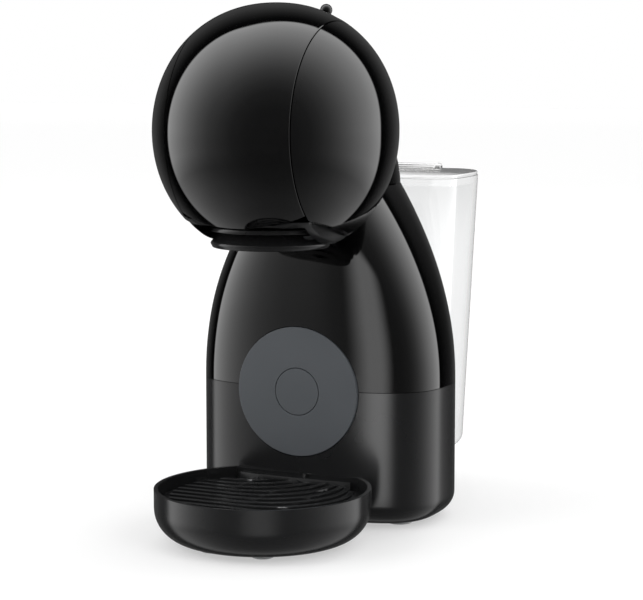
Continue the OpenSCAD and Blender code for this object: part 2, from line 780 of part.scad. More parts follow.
module water_tank() {
    edge = 6;
    heights = [tank_bottom + edge, tank_bottom + 60, tank_bottom + 110, tank_top];
    low = [for (t = [0, 30, 60]) let (r = tank_ring(tank_bottom + edge*(1 - cos(t)), edge*(1 - sin(t)))) r];
    shelf_y = lid_axis_y - 3;
    color("lightblue", 0.4) difference() {
        union() {
            loft(concat(low, [for (z = heights) tank_ring(z, 0)]));
            for (s = [-1, 1]) translate([s*(lid_pin_a - 1.6), lid_axis_y, 0]) {
                translate([0, 0, lid_axis_z]) rotate([0, 90, 0]) cylinder(h = 3, r = 2.4, center = true, $fn = 32);
                translate([-1.5, -2.4, tank_top - 4]) cube([3, 4.8, lid_axis_z - tank_top + 4]);
            }
        }
        difference() {
            loft(concat([tank_ring(tank_bottom + tank_wall, tank_wall + 3), tank_ring(tank_bottom + tank_wall + 4, tank_wall)],
                [for (z = [tank_bottom + 60, tank_bottom + 110, tank_top - 0.2]) tank_ring(z, tank_wall)],
                [let (r = tank_ring(tank_top, tank_wall)) [tank_top + 1, r[1], r[2], r[3], r[4], r[5], r[6]]]));
            translate([-40, shelf_y, tank_top - 3]) cube([80, 20, 12]);
        }
        translate([0, lid_axis_y, lid_axis_z]) rotate([0, 90, 0])
            cylinder(h = 60, d = 2 + 2*pin_fit, center = true, $fn = 32);
        translate([0, valve_y, tank_bottom - 1]) cylinder(h = 6, d = valve_d + 0.1, $fn = 48);
    }
}

valve_y = tank_front + 16;
valve_d = 14;

module tank_valve() {
    color(grey) translate([0, valve_y, 0]) rotate_extrude($fn = 48) polygon([[0, tank_bottom - 5],
        [3, tank_bottom - 5], [valve_d/2, tank_bottom - 2], [valve_d/2, tank_bottom + 4],
        [valve_d/2 + 3, tank_bottom + 4], [valve_d/2 + 3, tank_bottom + 6], [0, tank_bottom + 6]]);
}

module tank_lid() {
    t = 2;
    sink = 4.2;
    top = tank_ring(tank_top, 0.4);
    skirt = tank_ring(tank_top, tank_wall + 0.8);
    inner = tank_ring(tank_top, tank_wall + 2.6);
    function shape(r) = plan(r[1], r[2], r[3], r[4], r[5], r[6]);
    color("lightblue", 0.4) difference() {
        union() {
            intersection() {
                union() {
                    translate([0, 0, tank_top + touch]) linear_extrude(t) polygon(shape(top));
                    difference() {
                        translate([0, 0, tank_top - sink]) linear_extrude(sink + 1) polygon(shape(skirt));
                        translate([0, 0, tank_top - sink - 1]) linear_extrude(sink + 1.4) polygon(shape(inner));
                    }
                }
                translate([-tank_w/2, tank_front - 1, tank_top - sink])
                    cube([tank_w, lid_axis_y - 4.2 - tank_front + 1, 20]);
            }
            translate([0, lid_axis_y, lid_axis_z]) rotate([0, 90, 0])
                cylinder(h = 2*(lid_pin_a - 3.5), r = 2.2, center = true, $fn = 32);
            translate([0, lid_axis_y, tank_top + touch]) along_x(2*(lid_pin_a - 3.5))
                polygon([[-6, 0], [-4.2, 0], [0, 0.4], [0, 4.2], [-6, t]]);
        }
        translate([0, lid_axis_y, lid_axis_z]) rotate([0, 90, 0])
            cylinder(h = 60, d = 2 + 2*pin_fit, center = true, $fn = 32);
    }
}

module lid_pin() {
    color("silver") translate([0, lid_axis_y, lid_axis_z]) rotate([0, 90, 0])
        cylinder(h = 2*lid_pin_a, d = 2, center = true, $fn = 32);
}

dock_top = tank_bottom - touch;
dock_a = 38;
dock_len = 48;
dock_r = 22;
inlet_z = tank_bottom - 11;                    // the water's way from the dock into the column
socket_r = valve_d/2 + 1.8;

module tank_dock() {
    start = column_back + touch;
    color(satin) difference() {
        hull() {
            translate([-dock_a, start, foot_h]) cube([2*dock_a, 4, dock_top - foot_h]);
            for (s = [-1, 1]) translate([s*(dock_a - dock_r), start + dock_len - dock_r, foot_h])
                cylinder(h = dock_top - foot_h, r = dock_r, $fn = 64);
        }
        translate([0, valve_y, tank_bottom - 8]) cylinder(h = 10, r = socket_r, $fn = 48);
        translate([0, start - 1, inlet_z]) rotate([-90, 0, 0]) cylinder(h = valve_y - start + 1, d = 6.4, $fn = 32);
    }
}

module dock_feet() {
    color("dimgray") for (s = [-1, 1]) translate([s*18, column_back + dock_len - 16, 0])
        cylinder(h = foot_h, d = 12, $fn = 48);
}

module dock_seal() {
    color("dimgray") translate([0, valve_y, tank_bottom - 6]) difference() {
        cylinder(h = 3.6, r = socket_r - pin_fit, $fn = 48);
        translate([0, 0, -1]) cylinder(h = 6, r = valve_d/2 + gap, $fn = 48);
    }
}

// ---- the drip tray ----

// The prism of the column's plan, grown by a clearance, which the tray fits round.
module column_prism(grow) {
    a = column_a + grow;
    b = column_b + grow;
    translate([0, 0, -1]) linear_extrude(60) polygon(plan(a, b, b, column_y, column_n, column_n));
}

// The tray's bowl as a solid, from a radius and a bottom height.
module bowl(r, low, high, corner) {
    steps = 7;
    translate([0, tray_y, 0]) rotate_extrude($fn = 96) polygon(concat([[0, low]],
        [for (i = [0:steps]) let (t = 90*i/steps) [r - corner + corner*sin(t), low + corner*(1 - cos(t))]],
        [[r, high], [0, high]]));
}

module drip_tray() {
    floor_t = 2.4;
    tray_low = foot_h;
    ledge = 3.2;
    frame_low = grid_top - 4.6;
    color(satin) difference() {
        bowl(tray_d/2, tray_low, tray_top, tray_r);
        column_prism(gap);
        difference() {
            bowl(tray_d/2 - tray_wall - ledge, tray_low + floor_t, tray_top + 1, tray_r - 6);
            column_prism(gap + tray_wall);
        }
        difference() {
            translate([0, tray_y, frame_low]) cylinder(h = 20, r = tray_d/2 - tray_wall, $fn = 96);
            column_prism(gap + tray_wall);
        }
    }
}

module tray_feet() {
    color("whitesmoke") for (s = [-1, 1]) translate([s*15, tray_y - 30, 0])
        cylinder(h = foot_h, d = 11, $fn = 48);
}

module drip_grid() {
    reach = tray_d/2 - 8.2;
    bend = 40;
    bar_h = 2.2;
    rim_r = tray_d/2 - tray_wall - gap;
    rim_low = grid_top - 4.6 + touch;
    front_row = tray_y - reach + grid_pitch;
    rows = floor((column_front - 6 - front_row)/grid_pitch);
    back = gap + tray_wall + gap;
    color(satin) union() {
        difference() {
            union() {
                intersection() {
                    for (k = [0:rows]) {
                        x = 14 - 0.75*grid_pitch*k;
                        y = front_row + bend + grid_pitch*k;
                        translate([x, y, grid_top - bar_h]) rotate([0, 0, -90]) rotate_extrude(angle = 112, $fn = 96)
                            translate([bend - grid_bar/2, 0]) square([grid_bar, bar_h]);
                        translate([x - 90, y - bend - grid_bar/2, grid_top - bar_h]) cube([90.1, grid_bar, bar_h]);
                    }
                    translate([0, tray_y, 0]) cylinder(h = 60, r = reach, $fn = 96);
                }
                translate([0, tray_y, rim_low]) difference() {
                    cylinder(h = 2, r = rim_r, $fn = 96);
                    translate([0, 0, -1]) cylinder(h = 4, r = reach - 3, $fn = 96);
                }
                for (x = [-24, 0, 24]) let (half = sqrt(rim_r*rim_r - pow(abs(x) + 1, 2)) - 0.3)
                    translate([x - 1, tray_y - half, rim_low]) cube([2, 2*half, 2.4]);
            }
            column_prism(back);
        }
        intersection() {
            difference() {
                translate([-34, column_front - 14, rim_low]) cube([68, 26, grid_top + 2.2 - rim_low]);
                column_prism(back);
            }
            column_prism(back + 2.4);
            translate([0, tray_y, 0]) cylinder(h = 60, r = rim_r, $fn = 96);
        }
    }
}

base_plate();
base_feet();
base_screws();
base_shell();
column_shell();
neck_shell();
front_disc();
disc_cap();
inner_frame();
head_cover_right();
head_cover_left();
head_rear_cover();
jaw_frame();
jaw_screws();
visor_shell();
visor_frame();
hinge_pin();
carriage_guides();
needle_plate();
needle();
needle_seal();
needle_hose();
capsule_holder();
holder_nozzle();
selector_knob();
selector_arm();
selector_pin();
selector_valve();
power_button();
button_ring();
power_switch();
water_tank();
tank_valve();
tank_lid();
lid_pin();
tank_dock();
dock_feet();
dock_seal();
drip_tray();
tray_feet();
drip_grid();
pump_body();
pump_coil();
pump_mounts();
thermoblock();
thermostat();
thermal_fuse();
hose_tank_pump();
hose_pump_heater();
hose_heater_valve();
circuit_board();
board_standoffs();
cord_gland();
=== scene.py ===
"""Capsule coffee machine with a round glossy head, a narrow column, a clear rear tank and a drip tray."""
import math

import bmesh
import bpy
from mathutils import Matrix, Quaternion, Vector


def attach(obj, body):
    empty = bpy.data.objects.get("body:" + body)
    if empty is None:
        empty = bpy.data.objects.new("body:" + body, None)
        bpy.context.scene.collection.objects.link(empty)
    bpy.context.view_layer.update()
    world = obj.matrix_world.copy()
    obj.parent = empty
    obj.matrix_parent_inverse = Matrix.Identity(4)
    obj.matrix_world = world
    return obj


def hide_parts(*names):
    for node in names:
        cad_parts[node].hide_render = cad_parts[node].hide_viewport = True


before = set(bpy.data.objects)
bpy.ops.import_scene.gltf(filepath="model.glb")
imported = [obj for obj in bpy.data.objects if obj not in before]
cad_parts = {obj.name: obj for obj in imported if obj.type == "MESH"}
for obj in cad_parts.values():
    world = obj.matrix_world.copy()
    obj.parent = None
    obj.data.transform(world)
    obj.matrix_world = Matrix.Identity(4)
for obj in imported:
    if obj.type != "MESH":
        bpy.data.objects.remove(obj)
bpy.context.view_layer.update()
scene = bpy.context.scene

# ---- sizes in millimetres, and turns in degrees ----
# A turn in the YZ plane is 0 at the rear and 90 at the top.

MM = 0.001
COLUMN_Y = 7.3
COLUMN_A, COLUMN_B, COLUMN_N = 71.5, 43.2, 3.0
COLUMN_FRONT = COLUMN_Y - COLUMN_B
SEAM_Z, NECK_Z, NECK_A = 76.8, 187.0, 30.0
SHELL_WALL = 2.4
BASE_R, FOOT_H = 12.0, 2.0
HEAD_Y, HEAD_Z = -60.5, 219.4
HEAD_R, HEAD_A, HEAD_N, HEAD_WALL = 67.6, 63.9, 2.14, 2.4
VISOR_W, SEAM = 72.4, 0.6
VISOR_A = VISOR_W / 2 - SEAM
VISOR_BACK, VISOR_END = 82.0, 226.5
REAR_FROM = -34.0
HINGE_BACK, HINGE_DEEP, KNUCKLE_R, KNUCKLE_A, LUG_W = 13.5, 6.0, 2.8, 17.0, 2.6
REAR_TO = math.degrees(math.acos((HINGE_BACK + KNUCKLE_R + 1.6) / HEAD_R))
HINGE = Vector((0.0, HEAD_Y + HINGE_BACK, HEAD_Z + math.sqrt(HEAD_R**2 - HINGE_BACK**2) - HINGE_DEEP))
LEVER_Y = HEAD_Y + 28.0
LEVER_R, LEVER_TURN = HEAD_R - 1.6, 14.2
BUTTON_D = 18.0
DISC_Z, DISC_R, HUB_R = 75.0, 36.0, 13.0
GAP = 0.4
TRAY_Y, TRAY_R, TRAY_TOP, TRAY_WALL, TRAY_CORNER = -78.3, 58.2, 30.0, 2.2, 18.0
GRID_TOP = 25.6
TANK_FRONT, TANK_MID, TANK_REAR = 51.6, 79.3, 136.5
TANK_W, TANK_TOP, TANK_LOW, TANK_WALL, TANK_TAPER = 110.0, 188.5, 26.0, 2.2, 7.0
TANK_CORNER, TANK_STRAIGHT = 6.0, 50.0
LID_AXIS = Vector((0.0, TANK_REAR - 3.0, TANK_TOP + 2.6))
LID_PIN_A = 17.6
VALVE_Y, VALVE_D = TANK_FRONT + 16.0, 14.0
GLAND = Vector((-50.0, 44.9, 22.0))

# ---- the camera ----

CAMERA_AZIMUTH, CAMERA_PITCH = math.radians(25.0), math.radians(6.88)
CAMERA_AIM = Vector((0.0, -0.0038, 0.12249))
CAMERA_DISTANCE = 1.12657
towards_camera = Vector((
    math.sin(CAMERA_AZIMUTH) * math.cos(CAMERA_PITCH),
    -math.cos(CAMERA_AZIMUTH) * math.cos(CAMERA_PITCH),
    math.sin(CAMERA_PITCH),
))
camera_data = bpy.data.cameras.new("camera")
camera_data.sensor_fit = "HORIZONTAL"
camera_data.sensor_width = 36.0
camera_data.lens = 111.98
camera_data.clip_start, camera_data.clip_end = 0.05, 30.0
camera = bpy.data.objects.new("camera", camera_data)
camera.location = CAMERA_AIM + towards_camera * CAMERA_DISTANCE
camera.rotation_mode = "QUATERNION"
camera.rotation_quaternion = (-towards_camera).to_track_quat("-Z", "Y")
scene.collection.objects.link(camera)
scene.camera = camera


# ---- finishes ----


def finish_nodes(name):
    material = bpy.data.materials.new(name)
    material.use_nodes = True
    tree = material.node_tree
    shader = tree.nodes["Principled BSDF"]
    place = tree.nodes.new("ShaderNodeTexCoord")
    return material, tree, shader, place


def noise(tree, place, scale, detail=3.0, roughness=0.55, stretch=None):
    made = tree.nodes.new("ShaderNodeTexNoise")
    made.inputs["Scale"].default_value = scale
    made.inputs["Detail"].default_value = detail
    made.inputs["Roughness"].default_value = roughness
    if stretch:
        mapping = tree.nodes.new("ShaderNodeMapping")
        mapping.inputs["Scale"].default_value = stretch
        tree.links.new(place.outputs["Object"], mapping.inputs["Vector"])
        tree.links.new(mapping.outputs["Vector"], made.inputs["Vector"])
    else:
        tree.links.new(place.outputs["Object"], made.inputs["Vector"])
    return made


def moulded(name, dark, light, rough, spread, grain, depth, blotch=18.0, stretch=None, **sockets):
    """A finish between two colours, with a roughness and its spread, and a grain and its depth."""
    material, tree, shader, place = finish_nodes(name)
    broad = noise(tree, place, blotch, 4.0)
    ramp = tree.nodes.new("ShaderNodeValToRGB")
    ramp.color_ramp.elements[0].position, ramp.color_ramp.elements[1].position = 0.3, 0.7
    ramp.color_ramp.elements[0].color = (*dark, 1.0)
    ramp.color_ramp.elements[1].color = (*light, 1.0)
    tree.links.new(broad.outputs["Fac"], ramp.inputs["Fac"])
    tree.links.new(ramp.outputs["Color"], shader.inputs["Base Color"])
    fine = noise(tree, place, grain, 2.0, 0.5, stretch)
    level = tree.nodes.new("ShaderNodeMapRange")
    level.inputs["From Min"].default_value, level.inputs["From Max"].default_value = 0.3, 0.7
    level.inputs["To Min"].default_value = rough - spread
    level.inputs["To Max"].default_value = rough + spread
    tree.links.new(fine.outputs["Fac"], level.inputs["Value"])
    tree.links.new(level.outputs["Result"], shader.inputs["Roughness"])
    bump = tree.nodes.new("ShaderNodeBump")
    bump.inputs["Distance"].default_value = depth * MM
    bump.inputs["Strength"].default_value = 1.0
    tree.links.new(fine.outputs["Fac"], bump.inputs["Height"])
    tree.links.new(bump.outputs["Normal"], shader.inputs["Normal"])
    for socket, value in sockets.items():
        shader.inputs[socket.replace("_", " ")].default_value = value
    return material


FINISH = {
    "gloss_black": moulded("gloss_black_finish", (0.0007, 0.0007, 0.0008), (0.0012, 0.0012, 0.0013),
                           0.045, 0.012, 55.0, 0.0015),
    "satin_black": moulded("satin_black_finish", (0.0075, 0.0076, 0.0079), (0.0105, 0.0107, 0.0111),
                           0.22, 0.015, 2600.0, 0.0025, Specular_IOR_Level=0.32),
    "disc_grey": moulded("disc_grey_finish", (0.066, 0.073, 0.081), (0.076, 0.083, 0.092),
                         0.55, 0.05, 2400.0, 0.02),
    "structure_plastic": moulded("structure_plastic_finish", (0.05, 0.05, 0.052), (0.075, 0.075, 0.078),
                                 0.5, 0.06, 1400.0, 0.03),
    "white_plastic": moulded("white_plastic_finish", (0.62, 0.61, 0.57), (0.7, 0.69, 0.66),
                             0.45, 0.05, 1200.0, 0.02),
    "board_green": moulded("board_green_finish", (0.012, 0.07, 0.03), (0.02, 0.11, 0.045),
                           0.35, 0.08, 900.0, 0.02, 240.0),
    "soft_tube": moulded("soft_tube_finish", (0.55, 0.54, 0.5), (0.68, 0.67, 0.63),
                         0.32, 0.05, 700.0, 0.02, Transmission_Weight=0.35, IOR=1.43),
    "rubber": moulded("rubber_finish", (0.018, 0.018, 0.018), (0.03, 0.03, 0.03),
                      0.75, 0.08, 1500.0, 0.05),
    "clear_foot": moulded("clear_foot_finish", (0.82, 0.84, 0.85), (0.9, 0.91, 0.92),
                          0.16, 0.05, 600.0, 0.01, Transmission_Weight=0.3, IOR=1.45),
    "steel": moulded("steel_finish", (0.5, 0.5, 0.5), (0.62, 0.61, 0.6),
                     0.26, 0.07, 500.0, 0.004, 90.0, (1.0, 1.0, 6.0), Metallic=1.0),
    "cast_alloy": moulded("cast_alloy_finish", (0.52, 0.52, 0.53), (0.66, 0.66, 0.67),
                          0.48, 0.1, 650.0, 0.05, 60.0, Metallic=1.0),
    "copper": moulded("copper_finish", (0.46, 0.17, 0.07), (0.62, 0.27, 0.13),
                      0.34, 0.08, 90.0, 0.09, 120.0, (1.0, 1.0, 30.0), Metallic=1.0),
    "clear_plastic": moulded("clear_plastic_finish", (0.985, 0.99, 0.992), (0.996, 0.998, 0.998),
                             0.02, 0.008, 60.0, 0.001, Transmission_Weight=1.0, IOR=1.49),
}

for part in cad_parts.values():
    for entry in part.material_slots:
        entry.material = FINISH[entry.material.name]


# ---- building pieces ----


def make_object(name, bm):
    """Turns a bmesh drawn in millimetres into an object in metres, with its faces outwards."""
    bmesh.ops.remove_doubles(bm, verts=bm.verts, dist=0.0005)
    bmesh.ops.recalc_face_normals(bm, faces=bm.faces)
    bmesh.ops.scale(bm, vec=(MM, MM, MM), verts=bm.verts)
    mesh = bpy.data.meshes.new(name)
    bm.to_mesh(mesh)
    bm.free()
    made = bpy.data.objects.new(name, mesh)
    scene.collection.objects.link(made)
    return made


def carve(piece, other, operation="DIFFERENCE"):
    """Cuts the other shape out of the piece, or joins it on, and removes the other."""
    change = piece.modifiers.new("carve", "BOOLEAN")
    change.operation = operation
    change.solver = "EXACT"
    change.object = other
    bpy.context.view_layer.update()
    shaped = bpy.data.meshes.new_from_object(piece.evaluated_get(bpy.context.evaluated_depsgraph_get()))
    piece.modifiers.clear()
    old = piece.data
    piece.data = shaped
    bpy.data.meshes.remove(old)
    bpy.data.objects.remove(other)


def complete(piece, body, finish, *nodes, edge=0.3, segments=2, angle=38.0):
    """Rounds the piece's sharp edges, gives it its finish, and puts it on its body in the nodes' place."""
    piece.data.materials.clear()
    piece.data.materials.append(FINISH[finish])
    for face in piece.data.polygons:
        face.use_smooth = True
        face.material_index = 0
    if edge:
        rounded = piece.modifiers.new("edges", "BEVEL")
        rounded.width = edge * MM
        rounded.segments = segments
        rounded.limit_method = "ANGLE"
        rounded.angle_limit = math.radians(angle)
        rounded.harden_normals = True
        rounded.miter_outer = "MITER_ARC"
    else:
        piece.data.set_sharp_from_angle(angle=math.radians(angle))
    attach(piece, body)
    if nodes:
        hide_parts(*nodes)
    return piece


def merged_copy(node):
    """A copy of a node's mesh with its loose triangles merged into whole faces."""
    bm = bmesh.new()
    bm.from_mesh(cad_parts[node].data)
    bmesh.ops.remove_doubles(bm, verts=bm.verts, dist=0.000002)
    bmesh.ops.dissolve_limit(bm, angle_limit=math.radians(0.4), verts=bm.verts, edges=bm.edges)
    mesh = bpy.data.meshes.new(node + "_shape")
    bm.to_mesh(mesh)
    bm.free()
    made = bpy.data.objects.new(node + "_shape", mesh)
    scene.collection.objects.link(made)
    return made


def chain(bm, points, closed):
    verts = [bm.verts.new(p) for p in points]
    edges = [bm.edges.new(pair) for pair in zip(verts, verts[1:])]
    if closed:
        edges.append(bm.edges.new((verts[-1], verts[0])))
    return verts, edges


def spin_whole(bm, points, centre, axis, steps, closed=True):
    """Spins an outline once round an axis. An open outline starts and ends on the axis."""
    verts, edges = chain(bm, points, closed)
    bmesh.ops.spin(bm, geom=verts + edges, cent=centre, axis=axis, angle=math.tau, steps=steps,
                   use_merge=True)


def spin_part(bm, points, centre, axis, angle, steps):
    """Spins a closed outline through part of a turn, with a face at each end."""
    verts, edges = chain(bm, points, True)
    face = bm.faces.new(verts)
    bmesh.ops.spin(bm, geom=[face] + edges + verts, cent=centre, axis=axis, angle=angle, steps=steps)


def prism(bm, outline, along):
    """Extrudes a flat outline by a vector."""
    face = bm.faces.new([bm.verts.new(p) for p in outline])
    raised = bmesh.ops.extrude_face_region(bm, geom=[face])
    bmesh.ops.translate(bm, vec=along, verts=[g for g in raised["geom"] if isinstance(g, bmesh.types.BMVert)])


def rod(bm, radius, length, place, segments=64):
    """A cylinder centred at the place's origin and along its Z."""
    bmesh.ops.create_cone(bm, cap_ends=True, segments=segments, radius1=radius, radius2=radius, depth=length,
                          matrix=place)


def block(bm, size, place):
    made = bmesh.ops.create_cube(bm, size=1.0)
    bmesh.ops.scale(bm, vec=size, verts=made["verts"])
    bmesh.ops.transform(bm, matrix=place, verts=made["verts"])


def set_ring(verts, ring):
    """A plan like a rounded rectangle: half width a, and two half depths, each with its own squareness."""
    z, a, front, rear, y, n_front, n_rear = ring
    for i, v in enumerate(verts):
        t = math.tau * i / len(verts)
        c, s = math.cos(t), math.sin(t)
        n, depth = (n_front, front) if s < 0 else (n_rear, rear)
        v.co = (a * math.copysign(abs(c) ** (2 / n), c), y + depth * math.copysign(abs(s) ** (2 / n), s), z)


def next_ring(bm, verts, ring):
    """Extrudes a ring and sets the new one to its own plan."""
    inside = set(verts)
    edges = [e for e in {e for v in verts for e in v.link_edges}
             if e.verts[0] in inside and e.verts[1] in inside]
    grown = bmesh.ops.extrude_edge_only(bm, edges=edges)["geom"]
    fresh = {g for g in grown if isinstance(g, bmesh.types.BMVert)}
    ordered = [next(e.other_vert(v) for e in v.link_edges if e.other_vert(v) in fresh) for v in verts]
    set_ring(ordered, ring)
    return ordered


def loft(bm, rings, points=144, closed=False):
    """A surface through rings. A closed loft ends on its first ring, and an open one has two caps."""
    verts = bmesh.ops.create_circle(bm, cap_ends=False, segments=points, radius=1.0)["verts"]
    first = list(verts)
    set_ring(first, rings[0])
    last = first
    for ring in rings[1:]:
        last = next_ring(bm, last, ring)
    if closed:
        next_ring(bm, last, rings[0])
    else:
        bm.faces.new(first)
        bm.faces.new(last)


# ---- the round head ----


def head_point(t, inset):
    return ((HEAD_R - inset) * max(0.0, math.cos(t)) ** (2 / HEAD_N),
            (HEAD_A - inset) * math.copysign(abs(math.sin(t)) ** (2 / HEAD_N), t))


def head_arc(x0, x1, inset, steps):
    """Points (radius, x) of the head's outline from x0 to x1."""
    turn = lambda x: math.copysign(math.asin(min(1.0, abs(x) / (HEAD_A - inset)) ** (HEAD_N / 2)), x)
    start, end = turn(x0), turn(x1)
    return [head_point(start + (end - start) * i / steps, inset) for i in range(steps + 1)]


def on_turn(points, turn):
    """Places (radius, x) points in the plane through the head's axis at a turn."""
    c, s = math.cos(math.radians(turn)), math.sin(math.radians(turn))
    return [(x, HEAD_Y + r * c, HEAD_Z + r * s) for r, x in points]


HEAD_CENTRE = (0.0, HEAD_Y, HEAD_Z)
X_AXIS, Y_AXIS, Z_AXIS = (1.0, 0.0, 0.0), (0.0, 1.0, 0.0), (0.0, 0.0, 1.0)


def head_band(bm, x0, x1, d0, d1, start, end, steps, k=36):
    outer = head_arc(x0, x1, d0, k)
    inner = head_arc(x0, x1, d1, k)
    spin_part(bm, on_turn(outer + inner[::-1], start), HEAD_CENTRE, X_AXIS, math.radians(end - start), steps)


def head_ball(bm, grow):
    outline = on_turn(head_arc(-HEAD_A - grow, HEAD_A + grow, -grow, 72), 90)
    spin_whole(bm, outline, HEAD_CENTRE, X_AXIS, 192, False)


def side_cover(name, side, node):
    bm = bmesh.new()
    outer = head_arc(VISOR_W / 2, HEAD_A, 0.0, 44)
    inner = head_arc(VISOR_W / 2, HEAD_A - HEAD_WALL, HEAD_WALL, 36)
    spin_whole(bm, on_turn(outer[::-1] + inner, 90), HEAD_CENTRE, X_AXIS, 216, False)
    bmesh.ops.remove_doubles(bm, verts=bm.verts, dist=0.0005)
    geometry = bm.verts[:] + bm.edges[:] + bm.faces[:]
    cut = bmesh.ops.bisect_plane(bm, geom=geometry, plane_co=(0.0, HEAD_Y, HEAD_Z - 53.4),
                                 plane_no=(0.0, 0.25, 1.0), clear_inner=True)["geom_cut"]
    bmesh.ops.edgeloop_fill(bm, edges=[g for g in cut if isinstance(g, bmesh.types.BMEdge)])
    if side < 0:
        bmesh.ops.scale(bm, vec=(-1.0, 1.0, 1.0), verts=bm.verts)
    return complete(make_object(name, bm), "machine", "gloss_black", node, edge=0.4, segments=3)


side_cover("side_cover_right", 1, "head_cover_right")
side_cover("side_cover_left", -1, "head_cover_left")

bm = bmesh.new()
head_band(bm, -VISOR_A, VISOR_A, 0.0, HEAD_WALL, VISOR_BACK, VISOR_END, 120)
complete(make_object("visor_cover", bm), "visor", "gloss_black", "visor_shell", edge=0.4, segments=3)

bm = bmesh.new()
head_band(bm, -VISOR_A, VISOR_A, 0.0, HEAD_WALL, REAR_FROM, REAR_TO, 90)
rear_cover = make_object("rear_cover", bm)
bm = bmesh.new()
block(bm, (2 * (LEVER_R * math.sin(math.radians(LEVER_TURN)) + 2.6), 3.6, 30.0),
      Matrix.Translation((0.0, LEVER_Y, HEAD_Z + HEAD_R)))
carve(rear_cover, make_object("lever_slot", bm))
BUTTON_PLACE = Matrix.Translation(HEAD_CENTRE) @ Matrix.Rotation(math.radians(-45.0), 4, "X")
bm = bmesh.new()
rod(bm, BUTTON_D / 2 + 2.5, 30.0, BUTTON_PLACE @ Matrix.Translation((0.0, 0.0, HEAD_R + 5.0)), 96)
carve(rear_cover, make_object("button_hole", bm))
complete(rear_cover, "machine", "gloss_black", "head_rear_cover", edge=0.4, segments=3)

# The lips that the visor closes onto, and the two lugs of its hinge.
bm = bmesh.new()
for lip in ((KNUCKLE_A + LUG_W + 1.0, VISOR_A), (-VISOR_A, -KNUCKLE_A - LUG_W - 1.0)):
    head_band(bm, *lip, HEAD_WALL - 0.1, HEAD_WALL + 1.6, REAR_TO - 10.0, VISOR_BACK - 0.5, 16, 8)
for side in (-1, 1):
    middle = HINGE + Vector((side * (KNUCKLE_A + GAP + LUG_W / 2), 0.0, 0.0))
    rod(bm, KNUCKLE_R - 0.2, LUG_W, Matrix.Translation(middle) @ Matrix.Rotation(math.pi / 2, 4, "Y"), 48)
    start = middle - Vector((LUG_W / 2, 0.0, 0.0))
    prism(bm, [start + Vector((0.0, y, z)) for y, z in ((0.0, -2.4), (9.0, -4.2), (9.0, -0.6), (0.0, 1.6))],
          (LUG_W, 0.0, 0.0))
complete(make_object("rear_cover_lips", bm), "machine", "gloss_black", edge=0.2)


# ---- the column ----


def column_ring(z, inset):
    drawn = (max(0.0, z - SEAM_Z) / (NECK_Z + 8.0 - SEAM_Z)) ** 2.1
    lean = 7.2 * (max(0.0, z - DISC_Z - 40.0) / 80.0) ** 2
    b = COLUMN_B - lean - inset
    a = COLUMN_A - (COLUMN_A - NECK_A + 1.5) * drawn - inset
    return (z, a, b, b, COLUMN_Y + lean, COLUMN_N, COLUMN_N)


def between(low, high, steps):
    return [low + (high - low) * i / steps for i in range(steps + 1)]


def disc_room():
    bm = bmesh.new()
    middle = Matrix.Translation((0.0, COLUMN_FRONT, DISC_Z))
    rod(bm, DISC_R + GAP, 20.0, middle @ Matrix.Rotation(math.pi / 2, 4, "X"), 160)
    return make_object("disc_room", bm)


def head_room():
    bm = bmesh.new()
    head_ball(bm, GAP)
    return make_object("head_room", bm)


low = SEAM_Z + 0.15
bm = bmesh.new()
loft(bm, [column_ring(z, 0.0) for z in between(low, NECK_Z, 40)]
     + [column_ring(z, SHELL_WALL) for z in between(NECK_Z, low, 20)], closed=True)
upper = make_object("column_cover", bm)
carve(upper, head_room())
carve(upper, disc_room())
complete(upper, "machine", "gloss_black", "column_shell", edge=0.25)

bm = bmesh.new()
low, rise = NECK_Z + SEAM, 50.0
edge_ring = column_ring(low, 0.0)


def neck_ring(turn, inset):
    c, s = math.cos(math.radians(turn)), math.sin(math.radians(turn))
    n = COLUMN_N - 0.8 * s
    return (low + (rise - inset) * s, (edge_ring[1] - inset) * c, (edge_ring[2] - inset) * c,
            (edge_ring[3] - inset) * c, edge_ring[4], n, n)


loft(bm, [neck_ring(t, 0.0) for t in between(0.0, 84.0, 30)])
neck = make_object("neck_cover", bm)
bm = bmesh.new()
loft(bm, [(low - 1.0,) + neck_ring(0.0, SHELL_WALL)[1:]]
     + [neck_ring(t, SHELL_WALL) for t in between(3.0, 84.0, 20)])
carve(neck, make_object("neck_inside", bm))
carve(neck, head_room())
complete(neck, "machine", "gloss_black", "neck_shell", edge=0.25)

top = SEAM_Z - 0.15


def base_ring(z, inset):
    return (z, COLUMN_A - inset, COLUMN_B - inset, COLUMN_B - inset, COLUMN_Y, COLUMN_N, COLUMN_N)


bm = bmesh.new()
corner = [(FOOT_H + BASE_R * (1 - math.cos(t)), BASE_R * (1 - math.sin(t)))
          for t in between(0.0, math.pi / 2, 14)]
loft(bm, [base_ring(z, inset) for z, inset in corner] + [base_ring(z, 0.0) for z in between(20.0, top, 10)]
     + [base_ring(top, SHELL_WALL), base_ring(FOOT_H + BASE_R + 2.0, SHELL_WALL),
        base_ring(FOOT_H + BASE_R * 0.55, SHELL_WALL + BASE_R * 0.3), base_ring(FOOT_H + SHELL_WALL, BASE_R)],
     closed=True)
lower = make_object("base_cover", bm)
carve(lower, disc_room())
bm = bmesh.new()
rod(bm, 5.7, 40.0, Matrix.Translation(GLAND) @ Matrix.Rotation(math.pi / 2, 4, "X"))
carve(lower, make_object("gland_hole", bm))
complete(lower, "machine", "satin_black", "base_shell", edge=0.25)

# The round disc on the column's front, with its cap.
disc_face = COLUMN_FRONT - 0.2
disc_back = -24.7


def disc_points(points):
    return [(r, disc_face + depth, DISC_Z) for r, depth in points]


